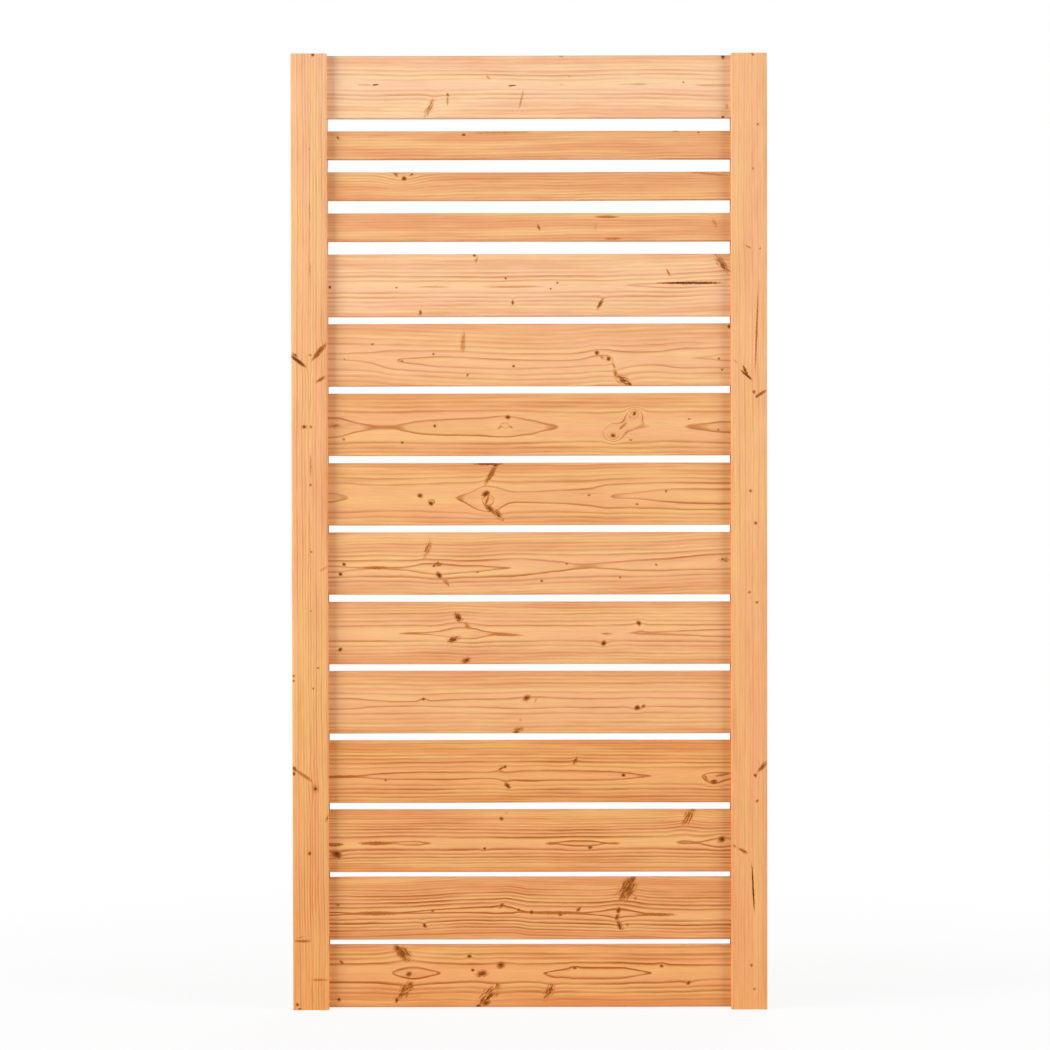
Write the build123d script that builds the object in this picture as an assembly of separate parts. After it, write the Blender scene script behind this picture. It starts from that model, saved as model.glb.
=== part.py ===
from build123d import *
from math import atan2, degrees
import os

# A privacy fence panel of planed softwood, in millimetres.
# Two upright stiles have a groove along their inner faces, and the ends of the horizontal boards and slats
# are housed in these grooves. Countersunk screws, driven from the back, pin every board end in its groove.
# X runs along the boards, Z is up and the front faces -Y. The origin is the middle of the panel's foot.

# Stiles
stile_face = 68.0
stile_depth = 45.0
stile_edge_radius = 4.0
opening_width = 759.0

# Boards and slats
board_height = 117.5
slat_height = 53.0
board_thickness = 20.0
board_edge_radius = 3.0
slat_count = 3
lower_board_count = 11

# Spacing of the rows, where the lowest boards stand closer together than the others
board_gap = 13.5
close_gap = 10.5
close_gap_count = 2
slat_gap = 24.0
end_inset = 3.0

# Grooves that house the board ends
groove_depth = 25.0
groove_side_clearance = 0.25
board_end_clearance = 3.0

# Countersunk screws through the rear cheek into the board, drawn with flat sides because there are many
screw_sides = 8
screw_diameter = 4.0
screw_head_diameter = 8.0
screw_head_height = 2.0
screw_head_sink = 0.5
screw_point_length = 5.0
screw_point_diameter = 0.8
screw_front_cover = 2.5
screw_hole_clearance = 0.1
screw_edge_distance = 24.0

# Sizes that follow
groove_width = board_thickness + 2 * groove_side_clearance
board_housing = groove_depth - board_end_clearance
board_length = opening_width + 2 * board_housing
stile_center_x = (opening_width + stile_face) / 2
screw_x = (opening_width + board_housing) / 2
back_face_y = stile_depth / 2
screw_head_y = back_face_y - screw_head_sink
screw_shank_y = screw_head_y - screw_head_height
screw_tip_y = screw_front_cover - board_thickness / 2
screw_point_y = screw_tip_y + screw_point_length


def board_rows():
    """Name, height and gap above of each board and slat, from the top down."""
    rows = [("top_board", board_height, end_inset)]
    for number in range(1, slat_count + 1):
        rows.append((f"slat_{number}", slat_height, slat_gap))
    for number in range(1, lower_board_count + 1):
        gap = slat_gap if number == 1 else board_gap
        if number > lower_board_count - close_gap_count:
            gap = close_gap
        rows.append((f"board_{number}", board_height, gap))
    return rows


def screw_levels(name, height, middle):
    """Levels of the screws in one end: a slat has one, and a wide board has one near each edge."""
    if name.startswith("slat"):
        return [middle]
    reach = height / 2 - screw_edge_distance
    return [middle - reach, middle + reach]


def screw_stretch(start_y, length, start_diameter, end_diameter):
    """Flat-sided stretch of a screw, which runs towards the front and narrows evenly."""
    start = Plane(origin=(0, start_y, 0), x_dir=(1, 0, 0), z_dir=(0, -1, 0))
    section = start * RegularPolygon(start_diameter / 2, screw_sides, major_radius=False)
    taper = degrees(atan2((start_diameter - end_diameter) / 2, length))
    return extrude(section, length, taper=taper)


def screw_shape(clearance):
    """Screw on the Y axis with its head towards the back, grown all round by the clearance."""
    head = screw_head_diameter + 2 * clearance
    shank = screw_diameter + 2 * clearance
    point = screw_point_diameter + 2 * clearance
    shape = screw_stretch(screw_head_y, screw_head_height, head, shank)
    shape += screw_stretch(screw_shank_y, screw_shank_y - screw_point_y, shank, shank)
    shape += screw_stretch(screw_point_y, screw_point_length + clearance, shank, point)
    return shape


def screw_hole_shape():
    """Room for a screw, open to the back face of the stile."""
    mouth = screw_head_diameter + 2 * screw_hole_clearance
    return screw_shape(screw_hole_clearance) + screw_stretch(back_face_y, screw_head_sink, mouth, mouth)


def board(height, middle, levels, screw_hole):
    """Planed board with rounded long edges, drilled from the back for the screws in both ends."""
    section = Plane.YZ * RectangleRounded(board_thickness, height, board_edge_radius)
    blank = Pos(0, 0, middle) * extrude(section, board_length / 2, both=True)
    return blank - [Pos(side * screw_x, 0, level) * screw_hole for side in (-1, 1) for level in levels]


def right_stile(panel_height, levels, screw_hole):
    """Upright with rounded long edges, grooved on its inner face and countersunk from the back."""
    section = RectangleRounded(stile_face, stile_depth, stile_edge_radius)
    groove = Pos((groove_depth - stile_face) / 2, 0) * Rectangle(groove_depth, groove_width)
    blank = Pos(stile_center_x, 0, 0) * extrude(section - groove, panel_height)
    return blank - [Pos(screw_x, 0, level) * screw_hole for level in levels]


def panel():
    """All the pieces by name."""
    rows = board_rows()
    panel_height = sum(height + gap for name, height, gap in rows) + end_inset
    screw = screw_shape(0)
    screw_hole = screw_hole_shape()

    pieces = {}
    all_levels = []
    top = panel_height
    for name, height, gap in rows:
        middle = top - gap - height / 2
        levels = screw_levels(name, height, middle)
        pieces[name] = board(height, middle, levels, screw_hole)
        all_levels += levels
        top -= gap + height
    pieces["right_stile"] = right_stile(panel_height, all_levels, screw_hole)
    pieces["left_stile"] = mirror(pieces["right_stile"], about=Plane.YZ)
    screws = [Pos(side * screw_x, 0, level) * screw for side in (-1, 1) for level in all_levels]
    pieces["board_screws"] = Compound(children=screws)
    return pieces


os.makedirs("parts", exist_ok=True)
for node, piece in panel().items():
    export_step(piece, f"parts/{node}.step")
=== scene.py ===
import math
from typing import NamedTuple

import bpy
from mathutils import Euler, Matrix, Vector


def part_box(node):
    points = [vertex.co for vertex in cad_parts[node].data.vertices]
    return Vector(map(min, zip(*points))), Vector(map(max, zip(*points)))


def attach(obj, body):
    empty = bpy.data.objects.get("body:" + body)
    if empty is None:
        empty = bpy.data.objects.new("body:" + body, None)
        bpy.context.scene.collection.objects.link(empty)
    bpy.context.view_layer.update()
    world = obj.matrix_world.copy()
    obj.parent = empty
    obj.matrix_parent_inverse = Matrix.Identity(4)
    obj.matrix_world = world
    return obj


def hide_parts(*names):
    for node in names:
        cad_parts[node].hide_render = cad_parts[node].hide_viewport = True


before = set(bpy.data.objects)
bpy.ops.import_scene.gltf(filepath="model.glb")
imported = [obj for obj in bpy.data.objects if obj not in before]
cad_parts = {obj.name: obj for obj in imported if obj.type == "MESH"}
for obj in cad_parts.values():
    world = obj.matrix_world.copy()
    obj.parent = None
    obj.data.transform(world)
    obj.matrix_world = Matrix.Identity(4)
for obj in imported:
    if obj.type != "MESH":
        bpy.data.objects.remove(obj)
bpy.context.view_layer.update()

# A privacy fence panel of planed softwood: two grooved stiles hold the ends of fifteen boards.
# Lengths are in metres, or in millimetres where a name or a comment says so.
MM = 0.001

# The photograph that the grain and the knots were read from, in its 1050 by 1050 pixels
PHOTO_CENTER_X = 529.5
PHOTO_FOOT_Y = 1010.5
BOARD_MM_PER_PIXEL = 1.886
STILE_MM_PER_PIXEL = 1.8817

# Planing and boring
BOARD_EDGE_RADIUS = 3 * MM
STILE_EDGE_RADIUS = 4 * MM
EDGE_STEPS = 6
STATIONS = 60
BOARD_CROOK = 0.5 * MM
CROOK_LENGTH = 0.45
CROOK_SEED_STEP = 7.3
GROOVE_END_CLEARANCE = 3 * MM
GROOVE_SIDE_CLEARANCE = 0.25 * MM

# Countersunk screws through the rear cheek of the stiles
SCREW_EDGE_DISTANCE = 24 * MM
SCREW_SHANK_RADIUS = 2 * MM
SCREW_HEAD_RADIUS = 4 * MM
SCREW_HEAD_HEIGHT = 2 * MM
SCREW_HEAD_SINK = 0.5 * MM
SCREW_FRONT_COVER = 2.5 * MM
SCREW_POINT_LENGTH = 5 * MM
SCREW_POINT_RADIUS = 0.4 * MM
SCREW_HOLE_CLEARANCE = 0.1 * MM
SCREW_SIDES = 24

# The six-lobed recess in a screw's head
RECESS_LOBES = 6
RECESS_RADIUS = 1.9 * MM
RECESS_INNER_RADIUS = 1.0 * MM
RECESS_FILLET = 0.3 * MM
RECESS_DEPTH = 1.4 * MM
RECESS_CUTTER_RISE = 0.5 * MM

# How far the lines of the growth rings sway and tremble, and over what lengths along and across the grain
SWAY_MM = 8
SWAY_ALONG_MM = 160
SWAY_ACROSS_MM = 60
TREMBLE_MM = 2
TREMBLE_ALONG_MM = 28
TREMBLE_ACROSS_MM = 9

# Depth of a ring into the wood, least width of its dark latewood, and the most of a ring that this takes
RING_DEPTH_MM = 8
LEAST_LATEWOOD_MM = 0.6
MOST_LATEWOOD = 0.45

# Where a latewood line sets in, is full and begins to stop, in its own widths before the end of the ring
LINE_SETS_IN = 2.0
LINE_FULL = 0.45
LINE_STOPS = 0.4

# How dark the lines are: the outlines of cathedrals are always clear, and other rings vary by year
OUTLINE_STRENGTH = 1.15
FAINTEST_YEAR = 0.35
STRONGEST_YEAR = 1.1

# Distance from the heart line at which the wood begins to turn warmer, and at which it is warmest
PALE_HEART_MM = 14
WARM_EDGE_MM = 58

# Noise in the wood, in millimetres along and across the grain
WOOD_NOISE_MM = {"cloud": (150, 25), "band": (420, 16), "streak": (220, 5), "fibre": (45, 1.4)}

# How far clouds and streaks shift the tint of the wood between the heart and the edge
CLOUD_SHIFT = 1.8
STREAK_SHIFT = 2.4

# How much fainter the lines are far from the heart line, and how much a ring darkens before its line
EDGE_FAINTNESS = 0.55
RING_SHADING = 0.2

# Height of the relief of fibres on the planed face, the part of it that shows, and what latewood adds
RELIEF = 0.1 * MM
RELIEF_STRENGTH = 0.2
LATEWOOD_RELIEF = 0.5

# Knots run right through a piece. Those cut across are round, and those cut lengthwise are ragged spikes
# or, where they are very long, thin streaks
KNOT_RUN_MM = 1000
ROUND_RATIO = 1.2
SPIKE_RATIO = 2.2
STREAK_RATIO = 4
RAGGED_FROM_MM = 14
LEAST_RAGGED = 0.15
STREAK_RAGGED = 0.35
KNOT_PITH = 0.5
STREAK_PITH = 0.15

# How far noise moves the outlines of knots, over what length, and the size of the mottling in them
WOBBLE_MM = 3
WOBBLE_SPAN_MM = 4
MOTTLE_SPAN_MM = 2.5

# Torn fibres in a knot, as patches along and across half of it, and how far they move its rim
TORN_PATCHES = (1.8, 4.2, 0)
TORN_REACH = 2.4

# How fast a knot's push on the rings dies away with the square of the distance
PUSH_FALL = 0.25


class Knot(NamedTuple):
    """A knot or resin mark: its place in the photograph's pixels, and its length and width in mm."""

    x: float
    y: float
    long: float
    wide: float
    lean: float = 0    # degrees anticlockwise from level
    dark: float = 0.8  # 0 is clear wood and 1 is nearly black
    bend: float = 0    # rings that it pushes away from the heart


class Cut(NamedTuple):
    """An open check or resin pocket in the front face, in the same units, with its depth in mm."""

    x: float
    y: float
    long: float
    wide: float
    lean: float
    deep: float


class Timber(NamedTuple):
    """The wood of one piece. Its middle, heart line and figure are read in the photograph's pixels."""

    middle: float      # the level of a board's middle, or the place of a stile's
    heart: tuple       # points that the heart line passes
    near: float        # millimetres between rings at the heart line
    turn: float        # millimetres from the heart line at which the rings crowd together
    # The tint from pale to deep orange is partly each piece's own tone and partly painted shade: the
    # lower boards and the feet of the stiles are deeper, where light falls off towards the bottom
    warmth_and_shade: tuple      # 0 is pale and 1 is deep orange, at the start and the end of the piece
    contrast: float    # how dark the rings are drawn
    figure: tuple      # (pixel along the grain, ring, its distance from the heart in mm): the cathedrals
    knots: tuple
    cuts: tuple = ()
    line: float = 3.2  # width of a latewood line in millimetres


# The wood of each piece, with its main lines and knots placed from the photograph
# The pale-to-deep tint of each piece below is partly painted shade, deeper towards the bottom of the
# panel
TIMBERS = {
    "top_board": Timber(
        middle=87.3, near=7.5, turn=110, warmth_and_shade=(0.0, 0.04), contrast=0.45,
        heart=((329, 85), (640, 85), (731, 86)),
        figure=(
            (329, 1.2, 0), (350, 1.04, 0), (358, 1, 0), (365, 1, 2), (374, 1, 0), (385, 1.06, 0),
            (430, 1.25, 0), (480, 1.1, 0), (570, 1.25, 0), (606, 1.04, 0), (614, 1, 0), (632, 1, 1.6),
            (656, 1, 1.2), (668, 1, 0), (680, 1.04, 0), (694, 1, 1), (715, 1, 2.5), (731, 1, 3),
        ),
        knots=(
            Knot(377, 85, 13, 3, 5, 0.88), Knot(430.5, 108, 42, 13, 65, 0.54, 0.4),
            Knot(448.6, 95, 6, 6, 0, 0.83, 0.3), Knot(448.6, 101, 20, 4.5, 88, 0.44),
            Knot(489, 78, 14, 6, -45, 0.45), Knot(513, 86, 15, 3, 5, 0.88),
            Knot(522, 100, 38, 5, 76, 0.39), Knot(562, 56, 14, 9, 0, 0.55), Knot(570, 77, 9, 6, 0, 0.3),
            Knot(562, 85, 9, 6, 0, 0.22), Knot(639, 85, 38, 5, 0, 0.3), Knot(683.6, 83, 5, 5, 0, 0.55),
            Knot(723, 57, 8, 13, 0, 1), Knot(723, 117.5, 7, 5, 0, 1),
            Knot(727, 107, 8, 14, 0, 0.39, 0.4),
        ),
    ),
    "slat_1": Timber(
        middle=144.5, near=7, turn=60, warmth_and_shade=(0.54, 0.54), contrast=0.7,
        heart=((329, 181), (731, 178)),
        figure=((329, 0.6, 0), (420, 0.9, 0), (520, 0.7, 0), (620, 0.95, 0), (731, 0.7, 0)),
        knots=(
            Knot(339, 137, 9, 5, -40, 0.83), Knot(464.6, 134, 8, 6, 0, 1, -0.4),
            Knot(500, 132, 130, 4.5, 1, 0.4), Knot(698.6, 132, 6, 5, 0, 0.77),
            Knot(676, 130.8, 14, 3, 0, 0.55), Knot(380, 135, 60, 4, -3, 0.25),
        ),
    ),
    "slat_2": Timber(
        middle=185.7, near=7, turn=60, warmth_and_shade=(0.57, 0.55), contrast=0.75,
        heart=((329, 224), (731, 222)),
        figure=((329, 0.9, 0), (420, 0.6, 0), (520, 0.9, 0), (620, 0.7, 0), (731, 0.8, 0)),
        knots=(
            Knot(405, 178, 11, 10, 0, 1), Knot(402, 179, 36, 26, 0, 0, -1.8),
            Knot(396.5, 173.6, 16, 7, -40, 0.7), Knot(412.5, 174, 12, 6, 35, 0.64),
            Knot(708, 173.6, 85, 4.5, -5, 0.46), Knot(480, 178, 150, 4, 0, 0.3),
        ),
    ),
    "slat_3": Timber(
        middle=226.4, near=7, turn=60, warmth_and_shade=(0.52, 0.57), contrast=0.6,
        heart=((329, 262), (731, 260)),
        figure=((329, 0.5, 0), (420, 0.8, 0), (520, 0.6, 0), (620, 0.9, 0), (731, 0.7, 0)),
        knots=(
            Knot(539, 226.5, 16, 5, -70, 0.77, -0.5), Knot(607, 216.3, 50, 6, 0, 0.54),
            Knot(613, 238, 38, 6, 0, 0.49), Knot(596, 226, 20, 9, 80, 0.3),
            Knot(714.6, 222.5, 22, 10, -70, 0.45, -0.6),
        ),
    ),
    "board_1": Timber(
        middle=285.4, near=8, turn=80, warmth_and_shade=(0.19, 0.21), contrast=0.48,
        heart=((329, 287), (640, 286), (731, 284)),
        figure=(
            (329, 1.2, 0), (395, 1.05, 0), (414, 1, 0), (432, 1, 1.4), (452, 1, 0), (466, 1.06, 0),
            (480, 1, 0), (515, 1, 2), (548, 1, 0), (570, 1.08, 0), (600, 1.15, 0), (618, 1.02, 0),
            (622, 1, 0), (640, 1, 3.5), (665, 1, 6), (731, 1, 8),
        ),
        knots=(
            Knot(434, 286.8, 70, 5, 0, 0.28), Knot(515.5, 286.8, 118, 5, 0, 0.25),
            Knot(475, 255.6, 9, 6, -20, 0.77), Knot(477, 260, 12, 6, 70, 0.58),
            Knot(506, 278.5, 5, 5, 0, 0.88), Knot(397, 287.5, 5, 4.5, 0, 0.66),
            Knot(330.5, 287, 6, 7, 0, 1), Knot(513, 302.6, 12, 6, 85, 0.9, 0.3),
            Knot(557.5, 283, 5, 4.5, 0, 0.77), Knot(551, 289, 5, 5, 0, 0.77),
            Knot(421, 312.5, 13, 7, 90, 0.77, 0.3), Knot(668.4, 273, 19, 5, -65, 0.66),
            Knot(691, 283.4, 122, 5, 0, 0.99), Knot(722, 264, 46, 14, -50, 0.77, 0.4),
            Knot(600.5, 304, 25, 8, 60, 0.96, 0.4),
        ),
        cuts=(Cut(691, 283.4, 112, 4, 0, 1.2),),
    ),
    "board_2": Timber(
        middle=355, near=13, turn=46, warmth_and_shade=(0.47, 0.47), contrast=0.48,
        heart=(
            (329, 356.5), (397, 359.5), (463, 362.5), (540, 364.5), (605, 361), (689, 358.3),
            (731, 358.3),
        ),
        figure=(
            (329, 2, 7.2), (365, 2, 10.5), (385, 1.35, 0), (397, 1, 0), (402, 1, 4.5), (420, 1, 8),
            (463, 1, 12), (540, 1, 9.6), (585, 1, 7), (600, 1, 4), (606, 1, 0), (620, 1.4, 0),
            (650, 1.55, 0), (672, 1.25, 0), (686, 1.01, 0), (689, 1, 0), (705, 1, 3.2), (731, 1, 7.4),
        ),
        knots=(
            Knot(373, 344, 7, 5, 0, 0.66), Knot(345, 359, 5, 5, 0, 0.55), Knot(434, 354, 7, 6, 0, 0.66),
            Knot(468, 375, 9, 6, 60, 0.61), Knot(514, 366, 6, 6, 0, 0.94),
            Knot(463.5, 342, 40, 10, 85, 0.46), Knot(463, 342, 6, 5, 0, 0.83),
            Knot(402.5, 361, 7, 5, 0, 0.55), Knot(597, 353, 10, 9, 0, 1), Knot(608.7, 359, 10, 9, 0, 1),
            Knot(602, 356, 36, 26, -30, 0, 0.4), Knot(597, 353, 17, 14, 0, 0.3),
            Knot(608.7, 359, 17, 15, 0, 0.3), Knot(602, 357.5, 14, 6, -40, 0.54),
            Knot(614, 366, 15, 6, -60, 0.54), Knot(616, 374, 18, 9, -60, 0.7),
            Knot(623, 380, 34, 17, -30, 0.8, 0.4), Knot(629.5, 384, 12, 7, -20, 1),
            Knot(719, 359, 6, 6, 0, 0.77), Knot(722, 370, 7, 6, 0, 0.66),
            Knot(729, 327, 6, 10, 0, 0.94),
        ),
    ),
    "board_3": Timber(
        middle=424.4, near=30, turn=28.7, line=4, warmth_and_shade=(0.68, 0.68), contrast=0.64,
        heart=((329, 427), (731, 427)),
        figure=(
            (329, 2, 20.6), (345, 2, 17), (365, 2, 8), (380, 2, 4.8), (392, 2, 4.8), (405, 2, 8),
            (420, 2, 13), (455, 2, 16.5), (490, 2, 17.5), (527, 2, 15.5), (545, 2, 8.4), (559, 2, 0),
            (575, 2.12, 0), (600, 2.16, 0), (612, 2, 0), (618, 2, 6), (625, 2, 9.5), (638, 2, 5),
            (650, 2, 0), (665, 2.1, 0), (680, 2.01, 0), (684, 2, 0), (705, 2, 7.7), (731, 2, 11.5),
        ),
        knots=(
            Knot(335, 425.6, 36, 11, 0, 0.54), Knot(435, 425.6, 7, 7, 0, 0.94),
            Knot(402.6, 442, 7, 7, 0, 0.83), Knot(344, 439, 8, 5, 0, 0.55), Knot(508, 417, 11, 9, 0, 1),
            Knot(508, 417, 18, 14, 0, 0.28), Knot(505, 425, 24, 15, 0, 0, 0.9),
            Knot(500, 427, 14, 5, 40, 0.44), Knot(511, 427, 11, 7, -30, 0.5),
            Knot(634.5, 413.6, 10, 7, 40, 1), Knot(634.5, 413.6, 24, 19, 30, 0.3),
            Knot(634.5, 413.6, 13, 11, 30, 0, 2.6), Knot(613, 435.5, 9, 8, 0, 1),
            Knot(613, 435.5, 22, 19, 0, 0.3), Knot(613, 435.5, 13, 11, 0, 0, 2.6),
            Knot(623, 426, 22, 5, 42, 0.5), Knot(689, 419, 7, 5, 0, 0.66),
            Knot(718, 430, 6, 5, 0, 0.66), Knot(631, 440, 7, 5, 0, 0.72),
        ),
    ),
    "board_4": Timber(
        middle=493.8, near=20, turn=32, warmth_and_shade=(0.73, 0.71), contrast=0.62,
        heart=((329, 497.5), (500, 497), (731, 496)),
        figure=(
            (329, 2, 9.6), (340, 2, 7), (346, 2, 4.5), (349, 2, 0), (372, 2.2, 0), (400, 2.3, 0),
            (435, 2.12, 0), (450, 2.01, 0), (454.6, 2, 0), (476, 2, 9), (516, 2, 11), (560, 2, 14),
            (585, 2, 17), (600, 1.3, 0), (610, 1, 0), (639, 1, 7.4), (665, 1, 12.7), (731, 1, 16),
        ),
        knots=(
            Knot(496, 464.8, 14, 7, 0, 1, 0.3), Knot(488, 463.6, 58, 4, 0, 0.94),
            Knot(491, 474, 40, 10, 58, 0.77, 0.4), Knot(486, 493.5, 19, 13, 30, 1),
            Knot(490, 508.5, 26, 12, -40, 1), Knot(488, 501, 30, 22, 60, 0, 1.1),
            Knot(487, 500, 24, 5, 70, 0.55), Knot(498, 514, 28, 14, -45, 0.85, 0.3),
            Knot(420, 495, 11, 9, 0, 0.95, 0.3), Knot(431, 503, 11, 10, 0, 1, 0.3),
            Knot(431, 503, 18, 16, 0, 0.3), Knot(420, 495, 15, 13, 0, 0.28),
            Knot(666, 491, 6, 6, 0, 0.72), Knot(589, 495, 7, 5, 0, 0.66), Knot(637, 504, 8, 5, 0, 0.66),
        ),
    ),
    "board_5": Timber(
        middle=563.6, near=12, turn=33, line=3.6, warmth_and_shade=(0.6, 0.6), contrast=0.6,
        heart=(
            (329, 569), (380, 568), (436, 569), (512, 567.4), (588, 566), (640, 565.6), (731, 562.3),
        ),
        figure=(
            (329, 1, 7.7), (350, 1, 5), (365, 1, 3.3), (378.5, 1, 3), (395, 1, 3.4), (415, 1, 6.5),
            (436, 1, 9.5), (455, 1, 9), (476, 1, 7.7), (495, 1, 4), (512, 1, 0), (530, 1.3, 0),
            (560, 2, 10), (588, 2, 5.3), (605, 2, 7), (640, 2, 11.7), (680, 2, 14), (731, 2, 17),
        ),
        knots=(
            Knot(427.5, 549, 40, 13, 70, 0.58, 0.3), Knot(344, 564, 8, 7, 0, 0.94),
            Knot(340.6, 574, 9, 8, 20, 0.99), Knot(376, 567.5, 56, 6.5, 0, 0.58),
            Knot(438, 564, 22, 10, 0, 0.77), Knot(434, 566, 7, 5, 0, 0.99),
            Knot(439, 575, 17, 11, -50, 0.99), Knot(439, 570, 34, 28, 80, 0, 0.35),
            Knot(446, 582, 24, 9, -50, 0.58), Knot(477.5, 572, 6, 5, 0, 0.66),
            Knot(566.5, 564, 6, 5, 0, 0.77), Knot(656, 565, 6, 5, 0, 0.83),
            Knot(620, 577.6, 6, 5, 0, 0.77), Knot(541.5, 581, 6, 6, 0, 0.77),
            Knot(724, 560, 24, 11, 0, 0.58),
        ),
    ),
    "board_6": Timber(
        middle=632.7, near=12, turn=31, warmth_and_shade=(0.6, 0.6), contrast=0.6,
        heart=((329, 633), (731, 633)),
        figure=(
            (329, 1.2, 0), (380, 1.05, 0), (397.4, 1, 0), (410, 1, 2.6), (430, 1, 4), (450, 1, 9),
            (465, 1, 10), (480, 1, 7), (490, 1, 4), (505, 1, 2), (522, 1, 0), (560, 1.15, 0),
            (600, 1.12, 0), (622, 1.01, 0), (625, 1, 0), (650, 1, 3), (690, 1, 6), (731, 1, 8.5),
        ),
        knots=(
            Knot(458, 617, 24, 14, -55, 0.96), Knot(458, 617, 12, 7, -55, 1),
            Knot(467, 625, 22, 11, -45, 0.54), Knot(460, 619, 40, 28, -50, 0, 0.5),
            Knot(453.4, 639, 27, 12, 20, 0.92), Knot(452, 639, 12, 7, 20, 1),
            Knot(411, 633, 50, 5, 0, 0.44), Knot(505, 634.5, 70, 6, -2, 0.51),
            Knot(466, 660, 20, 12, 20, 0.96, 0.4), Knot(340, 649, 10, 8, 50, 1),
            Knot(638.5, 623, 13, 10, -50, 0.88, 0.4), Knot(603.5, 643, 13, 11, 40, 0.97, 0.4),
            Knot(606, 633.5, 22, 4, 0, 0.5), Knot(668, 634.5, 150, 7, -1, 0.27),
            Knot(475, 636, 34, 16, 10, 0.22),
        ),
    ),
    "board_7": Timber(
        middle=701.5, near=14, turn=36, warmth_and_shade=(0.63, 0.63), contrast=0.54,
        heart=((329, 702.5), (731, 702)),
        figure=(
            (329, 1, 12), (370, 1, 8.5), (407, 1, 6.2), (440, 1, 8), (466, 1, 9.6), (527, 1, 10),
            (620, 1, 10.5), (731, 1, 9.1),
        ),
        knots=(
            Knot(423, 698, 8, 7, 0, 0.88, 0.3), Knot(526.5, 697, 20, 14, 30, 0.77),
            Knot(526, 697, 11, 9, 30, 1), Knot(531, 698, 42, 28, 10, 0, 0.35),
            Knot(535.5, 699, 15, 4, 75, 0.44), Knot(518, 729, 24, 12, 15, 0.7),
            Knot(516, 731, 14, 7, 10, 0.96), Knot(637, 707, 13, 11, 20, 1, 0.4),
            Knot(643, 705.5, 12, 7, 20, 0.77), Knot(520, 719, 8, 6, 0, 0.39),
        ),
    ),
    "board_8": Timber(
        middle=771, near=12.5, turn=32, warmth_and_shade=(0.88, 0.88), contrast=0.72,
        heart=((329, 775.6), (440, 775), (731, 775.3)),
        figure=(
            (329, 1, 3), (355, 1, 3.1), (375, 1, 6), (387, 1, 7.7), (440, 1, 8.4), (490, 1, 7.5),
            (510, 1, 9), (560, 1, 11), (600, 1, 10.5), (625, 1, 8), (640, 1, 4.5), (652.6, 1, 0),
            (690, 1.14, 0), (704, 1, 0), (716, 1, 6), (731, 1, 7.5),
        ),
        knots=(
            Knot(344, 775.6, 66, 6, 0, 0.6), Knot(385, 779, 8, 6, 0, 0.72),
            Knot(501, 767.5, 17, 6, 30, 0.77, 0.3), Knot(504.5, 766, 8, 6, 30, 0.94),
            Knot(507, 785, 17, 9, -45, 1, 0.4), Knot(575, 760, 16, 8, 60, 0.96, 0.3),
            Knot(623, 774.6, 9, 8, 0, 1), Knot(713.7, 781.5, 18, 12, 0, 0.94, 0.7),
            Knot(705.5, 777, 18, 5, -65, 0.66), Knot(722, 774.5, 32, 5, 8, 0.55),
            Knot(641, 775.8, 26, 7, 0, 0.45),
        ),
    ),
    "board_9": Timber(
        middle=840.4, near=10, turn=27, line=4.5, warmth_and_shade=(0.82, 0.82), contrast=0.76,
        heart=((329, 842.7), (731, 842.5)),
        figure=(
            (329, 1.1, 0), (350, 1.04, 0), (358, 1, 0), (368, 1, 2.5), (380, 1, 3.2), (392, 1, 3.2),
            (402, 1, 4.5), (412, 1, 4.8), (424, 1, 3), (432, 1, 0), (445, 1.08, 0), (480, 1.2, 0),
            (525, 1.08, 0), (541, 1.01, 0), (544, 1, 0), (556, 1, 3), (570, 1, 6), (580, 1, 6.7),
            (592, 1, 6), (605, 1, 2.5), (620, 1, 0), (635, 1.08, 0), (660, 1.15, 0), (690, 1.01, 0),
            (693, 1, 0), (706, 1, 3), (731, 1, 7.5),
        ),
        knots=(
            Knot(376, 842.5, 68, 8.5, 0, 0.62), Knot(413, 843, 40, 4, 0, 0.2),
            Knot(613, 843, 28, 5, 0, 0.5), Knot(552, 843, 30, 6, 0, 0.54),
            Knot(336, 854, 26, 18, -20, 0.83, 0.5), Knot(336, 853, 21, 14, -20, 1),
            Knot(501, 818, 9, 8, 0, 0.97, 0.3), Knot(506, 812, 16, 8, 60, 0.28),
            Knot(484, 848, 8, 7, 0, 0.88, 0.3), Knot(589.7, 847, 10, 8, 0, 0.99),
            Knot(688, 816, 40, 22, 65, 0.67, 0.8), Knot(693, 809.5, 18, 9, 30, 0.7),
            Knot(684, 822, 18, 10, 50, 0.54), Knot(721.5, 839, 16, 13, 0, 1),
            Knot(721.5, 839, 26, 18, 30, 0.55, 0.5),
        ),
    ),
    "board_10": Timber(
        middle=908.2, near=9, turn=32, line=3.8, warmth_and_shade=(0.8, 0.8), contrast=0.88,
        heart=(
            (329, 913), (380, 912.8), (432, 911), (500, 909.2), (531, 912), (620, 913.3), (675, 914.8),
            (731, 915),
        ),
        figure=(
            (329, 1, 4.3), (350, 1, 2.8), (372, 1, 2.3), (392, 1, 2.3), (410, 1, 3.2), (432, 1, 4.5),
            (470, 1, 6.5), (500, 1, 8), (515, 1, 5), (531, 1, 2.3), (545, 1, 2.4), (560, 1, 2.3),
            (575, 1, 2.8), (590, 1, 2.5), (605, 1, 2.4), (618, 1, 2.8), (635, 1, 2.4), (655, 1, 2),
            (675, 1, 0), (700, 1.06, 0), (731, 1.12, 0),
        ),
        knots=(
            Knot(375, 912.8, 98, 9, 0, 0.58), Knot(555, 912.5, 118, 7.5, 0, 0.58),
            Knot(655, 914.3, 84, 7.5, -1, 0.58), Knot(337, 904, 10, 8, 0, 0.66),
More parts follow.
